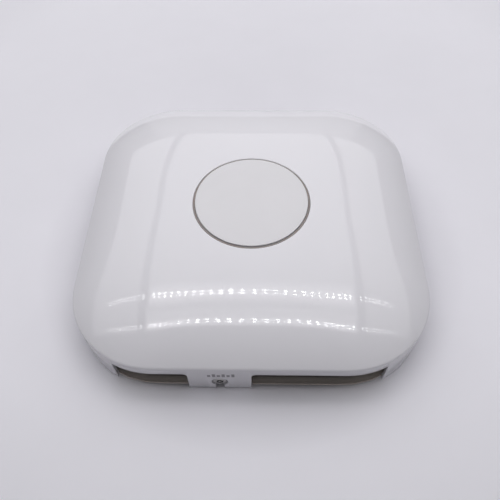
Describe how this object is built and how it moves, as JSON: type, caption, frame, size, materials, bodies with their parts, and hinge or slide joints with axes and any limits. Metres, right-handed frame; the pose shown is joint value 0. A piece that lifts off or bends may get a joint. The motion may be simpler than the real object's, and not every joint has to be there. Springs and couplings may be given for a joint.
{
  "type": "ceiling access point",
  "caption": "Pillow-shaped wireless ceiling access point: gloss cover with a flush round badge and light ring on a coved tray, with a slide-on steel bracket.",
  "frame": {"origin": "middle of the plan, on the ceiling plane that the bracket and the skirt's edge meet", "axes": "+Z out of the ceiling, towards the dome; -Y towards the front skirt with the keyhole tab; +X to the right seen from the front"},
  "size_m": [0.22, 0.22, 0.0448],
  "materials": {
    "cover_gloss_white": "high gloss, cool white",
    "badge_satin_white": "satin white",
    "guide_translucent": "translucent grey, unlit",
    "light_board_white": "white solder mask",
    "lamp_resin": "clear yellowish resin",
    "ribbon_film": "flat flexible lead",
    "tray_beige_paint": "matt beige-grey paint on die-cast aluminium",
    "label_film": "blank silver-grey film",
    "dark_steel": "zinc-black screw steel",
    "screw_steel": "nickel-plated",
    "bracket_steel": "galvanised sheet",
    "retainer_nylon": "natural nylon",
    "board_green": "green solder mask",
    "tin_plate": "tin-plated sheet",
    "socket_grey": "moulded grey",
    "black_plastic": "moulded black",
    "thermal_pad": "soft pink gap pad",
    "heat_sink_aluminium": "extruded, plain",
    "capacitor_can": "printed can"
  },
  "bodies": {
    "housing": {"top_cover": "cover_gloss_white", "badge_disc": "badge_satin_white", "light_guide": "guide_translucent", "light_board": "light_board_white", "status_lamp_1": "lamp_resin", "status_lamp_2": "lamp_resin", "status_lamp_3": "lamp_resin", "status_lamp_4": "lamp_resin", "light_ribbon": "ribbon_film", "base_chassis": "tray_beige_paint", "case_screw_1": "dark_steel", "case_screw_2": "dark_steel", "case_screw_3": "dark_steel", "case_screw_4": "dark_steel", "label_plate": "label_film", "mounting_stud_1": "dark_steel", "mounting_stud_2": "dark_steel", "mounting_stud_3": "dark_steel", "mounting_stud_4": "dark_steel", "main_board": "board_green", "board_screw_1": "screw_steel", "board_screw_2": "screw_steel", "board_screw_3": "screw_steel", "board_screw_4": "screw_steel", "ethernet_jack": "tin_plate", "console_jack": "socket_grey", "power_jack": "black_plastic", "reset_switch": "black_plastic", "processor_shield": "tin_plate", "thermal_pad": "thermal_pad", "heat_sink": "heat_sink_aluminium", "radio_shield_left": "tin_plate", "radio_shield_right": "tin_plate", "power_transformer": "black_plastic", "magnetics_module": "black_plastic", "capacitor_1": "capacitor_can", "capacitor_2": "capacitor_can", "capacitor_3": "capacitor_can", "antenna_1": "tin_plate", "antenna_2": "tin_plate", "antenna_3": "tin_plate", "antenna_4": "tin_plate", "antenna_5": "tin_plate", "antenna_6": "tin_plate"},
    "bracket": {"mounting_bracket": "bracket_steel"},
    "retainer": {"screw_retainer": "retainer_nylon"},
    "screw": {"security_screw": "screw_steel"},
    "button": {"reset_button": "socket_grey"}
  },
  "joints": [
    {"name": "bracket_slide", "type": "slide", "parent": "housing", "child": "bracket", "axis": [0, 1, 0], "range_m": [0, 0.01]},
    {"name": "screw_travel", "type": "slide", "parent": "housing", "child": "retainer", "axis": [0, -1, 0], "range_m": [0, 0.0035]},
    {"name": "screw_turn", "type": "hinge", "parent": "retainer", "child": "screw", "pos_m": [-0.0174, -0.1, 0.0085], "axis": [0, -1, 0], "range_deg": [0, 1800]},
    {"name": "reset_push", "type": "slide", "parent": "housing", "child": "button", "axis": [0, -1, 0], "range_m": [0, 0.0006], "stiffness_N_per_m": 1500}
  ],
  "couplings": [
    {"joint": "screw_turn", "follows": "screw_travel", "rad_per_m": 8975}
  ]
}
